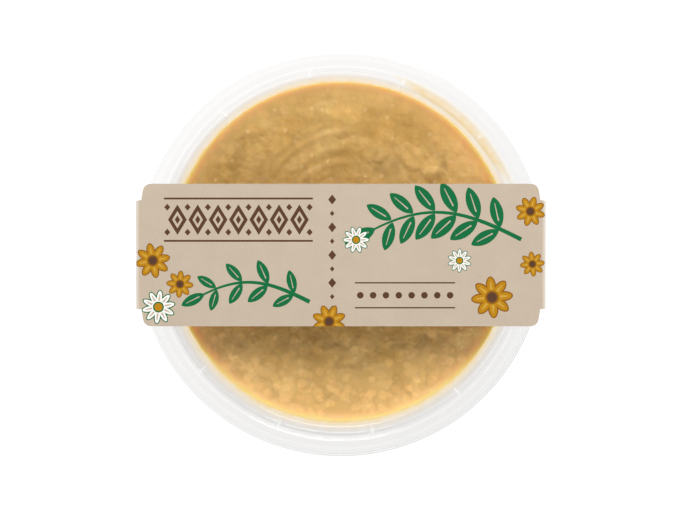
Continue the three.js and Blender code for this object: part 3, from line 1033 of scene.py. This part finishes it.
def band_path():
    """The outside of the folded strip, as x and z, from its seam under the tub round to it again."""
    top = LID.rim_height + LID.wall / 2 + BAND.clearance + CARD
    foot, half = BAND.foot_half, BAND.half_length
    corners = [
        (BAND.seam + BAND.seam_gap / 2, 0),
        (foot, 0, BAND.fold_round),
        (half, BAND.crease_height, BAND.crease_round),
        (half, top, BAND.fold_round),
        (-half, top, BAND.fold_round),
        (-half, BAND.crease_height, BAND.crease_round),
        (-foot, 0, BAND.fold_round),
        (BAND.seam - BAND.seam_gap / 2, 0),
    ]
    return soft_line(corners, 8)


def card_outline(ends):
    """The die-cut outline of the laid-out card."""
    wide, narrow = BAND.half_width, BAND.side_half_width
    ear, slant = BAND.ear_length, BAND.ear_slant
    upper = [
        (ends[1], narrow, 0),
        (ear, narrow, 0),
        (ear - slant, wide, BAND.ear_round),
        (-ear + slant, wide, BAND.ear_round),
        (-ear, narrow, 0),
        (ends[0], narrow, 0),
    ]
    lower = [(x, -y, rounding) for x, y, rounding in reversed(upper)]
    return soft_line(upper + lower, 8, closed=True)


def fold_lengths():
    """The path, and how far along the card each of its points lies from the middle of the top."""
    path = band_path()
    steps = np.linalg.norm(np.diff(path, axis=0), axis=1)
    along = np.concatenate([[0], np.cumsum(steps)])
    top = path[:, 1] > path[:, 1].max() - 1e-6
    middle = along[top].mean()
    return path[::-1], (middle - along)[::-1]


INKS = ["card", "green", "brown", "ochre", "dark_ochre", "light_ochre", "white"]


def cut_card(ends, folds):
    """Triangles of the laid-out card, cut along its folds and round every printed shape."""
    shapes = [("card", card_outline(ends))] + printed_shapes()
    points, rings = [], []
    for _, outline in shapes:
        rings.append(list(range(len(points), len(points) + len(outline))))
        points += [Vector(map(float, p)) for p in outline]
    edges = []
    for place in folds:
        edges.append((len(points), len(points) + 1))
        points += [Vector((place, side * (BAND.half_width + 1))) for side in (-1, 1)]
    made = geometry.delaunay_2d_cdt(points, edges, rings, 0, 1e-5, True)
    faces, materials = [], []
    for face, owners in zip(made[2], made[5]):
        if 0 in owners:
            top = max(owners)
            faces.append(tuple(face))
            materials.append(1 + INKS.index(shapes[top][0]) if top else 0)
    return np.array([tuple(p) for p in made[0]]), faces, materials


def folded(flat, path, along, depth):
    """Laid-out points as points on the folded band, that far inside its outer face."""
    mitre, reach = normals_of(path)
    line = path + depth * reach[:, None] * mitre
    x = np.interp(flat[:, 0], along, line[:, 0])
    z = np.interp(flat[:, 0], along, line[:, 1])
    return np.column_stack([x, flat[:, 1] + BAND.shift, z])


def boundary_of(faces):
    """Directed edges that only one face has."""
    seen = {(a, b) for face in faces for a, b in zip(face, face[1:] + face[:1])}
    return [(a, b) for a, b in seen if (b, a) not in seen]


class HUMMUS_OT_band(Operator):
    """Make the printed card band, cut flat and then folded round the pack"""

    bl_idname = "hummus_tub.band"
    bl_label = "Card band"

    def execute(self, context):
        look = context.scene.hummus_card
        path, along = fold_lengths()
        flat, faces, inks = cut_card((along[0], along[-1]), along[1:-1])
        outside = folded(flat, path, along, 0)
        inside = folded(flat, path, along, -CARD)
        count = len(flat)
        walls = [(b, a, a + count, b + count) for a, b in boundary_of(faces)]
        back = [tuple(i + count for i in face[::-1]) for face in faces]
        materials = [card_stock("card_stock", look.card)]
        materials += [card_stock(ink + "_ink", getattr(look, ink), painted_fold_highlight=False) for ink in INKS]
        lap, lap_faces = self.glue_lap(2 * count)
        points = np.concatenate([outside, inside, lap])
        faces = faces + walls + back + lap_faces
        shades = inks + [0] * (len(faces) - len(inks))
        band = add_object("printed_card_band", points, faces, materials, shades, sharp=30)
        on_part(band, "card_band")
        return {"FINISHED"}

    def glue_lap(self, first):
        """The overlap glued inside the bottom panel, across the seam, with round free corners."""
        wide = BAND.side_half_width
        start, end = BAND.seam - BAND.lap_start, BAND.seam + BAND.lap_reach
        r = BAND.lap_round
        corners = [(start, -wide), (end, -wide, r), (end, wide, r), (start, wide)]
        outline = soft_line(corners, 6, closed=True) + (0, BAND.shift)
        count = len(outline)
        points = [(x, y, z) for z in (2 * CARD, CARD) for x, y in outline]
        upper = tuple(range(first, first + count))
        lower = tuple(i + count for i in upper)
        return points, [upper, lower[::-1]] + ring_faces(first, first + count, count)


# Stage


class HUMMUS_OT_stage(Operator):
    """Make the white floor, the soft lights and the camera"""

    bl_idname = "hummus_tub.stage"
    bl_label = "Stage"

    def execute(self, context):
        look = context.scene.hummus_stage
        self.floor(look)
        self.lights(context, look)
        self.camera(context, look)
        context.scene.view_settings.view_transform = "Standard"
        context.scene.cycles.transparent_max_bounces = 24
        return {"FINISHED"}

    def floor(self, look):
        half = FLOOR.half / MM
        corners = [(-half, -half, 0), (half, -half, 0), (half, half, 0), (-half, half, 0)]
        n = Nodes("white_floor")
        tone = n.spread(n.noise(6, 2), 0.3, 0.7, 0.08, 0.09)
        glow = {"Emission_Color": WHITE, "Emission_Strength": look.glow}
        shader = n.add("BsdfPrincipled", Base_Color=tone, Roughness=0.7, **glow)
        floor = add_object("white_floor", corners, [(0, 1, 2, 3)], [n.finish(shader.outputs[0])])
        floor.location.z = -FLOOR.drop

    def lights(self, context, look):
        n = Nodes("white_surroundings", "worlds", "OutputWorld")
        up = n.add("SeparateXYZ", Vector=n.add("TexCoord").outputs["Generated"]).outputs["Z"]
        dim = n.spread(up, DIM.start, DIM.end, look.sky, look.sky * DIM.share)
        context.scene.world = n.finish(n.add("Background", Color=WHITE, Strength=dim).outputs[0])
        key = bpy.data.lights.new("soft_key", "AREA")
        key.shape = "SQUARE"
        key.size = LAMP.size
        key.energy = look.key_power
        lamp = placed("soft_key", key)
        lamp.location = LAMP.place
        lamp.rotation_euler = (-lamp.location).to_track_quat("-Z", "Y").to_euler()

    def camera(self, context, look):
        lens = bpy.data.cameras.new("camera")
        lens.sensor_width = 36
        lens.lens = lens.sensor_width * look.distance / look.picture_width
        lens.clip_start, lens.clip_end = 0.05, 10
        camera = placed("camera", lens)
        rim = Vector((-0.0001, -0.0005, LID.rim_height * MM))
        toward = Vector((0, sin(look.tilt), cos(look.tilt)))
        camera.location = rim + toward * look.distance
        camera.rotation_euler = (-look.tilt, 0, 0)
        context.scene.camera = camera


# The sidebar panel, and the start


class HUMMUS_PT_panel(Panel):
    """Lists the pieces of the tub of hummus and their settings"""

    bl_idname = "HUMMUS_PT_panel"
    bl_label = "Hummus Tub"
    bl_space_type = "VIEW_3D"
    bl_region_type = "UI"
    bl_category = "Hummus Tub"

    def draw(self, context):
        layout = self.layout
        for group, (operator, kind) in PIECES.items():
            box = layout.box()
            box.operator(operator.bl_idname)
            settings = getattr(context.scene, group)
            for name in kind.__annotations__:
                box.prop(settings, name)


PIECES = {
    "hummus_stage": (HUMMUS_OT_stage, StageSettings),
    "hummus_dip": (HUMMUS_OT_dip, DipSettings),
    "hummus_plastic": (HUMMUS_OT_tub, PlasticSettings),
    "hummus_card": (HUMMUS_OT_band, CardSettings),
}


def register():
    for group, (operator, kind) in PIECES.items():
        bpy.utils.register_class(kind)
        bpy.utils.register_class(operator)
        setattr(Scene, group, PointerProperty(type=kind))
    bpy.utils.register_class(HUMMUS_PT_panel)


def unregister():
    bpy.utils.unregister_class(HUMMUS_PT_panel)
    for group, (operator, kind) in reversed(PIECES.items()):
        delattr(Scene, group)
        bpy.utils.unregister_class(operator)
        bpy.utils.unregister_class(kind)


def main():
    register()
    bpy.ops.hummus_tub.stage()
    bpy.ops.hummus_tub.dip()
    bpy.ops.hummus_tub.tub()
    bpy.ops.hummus_tub.band()


if __name__ == "__main__":
    main()
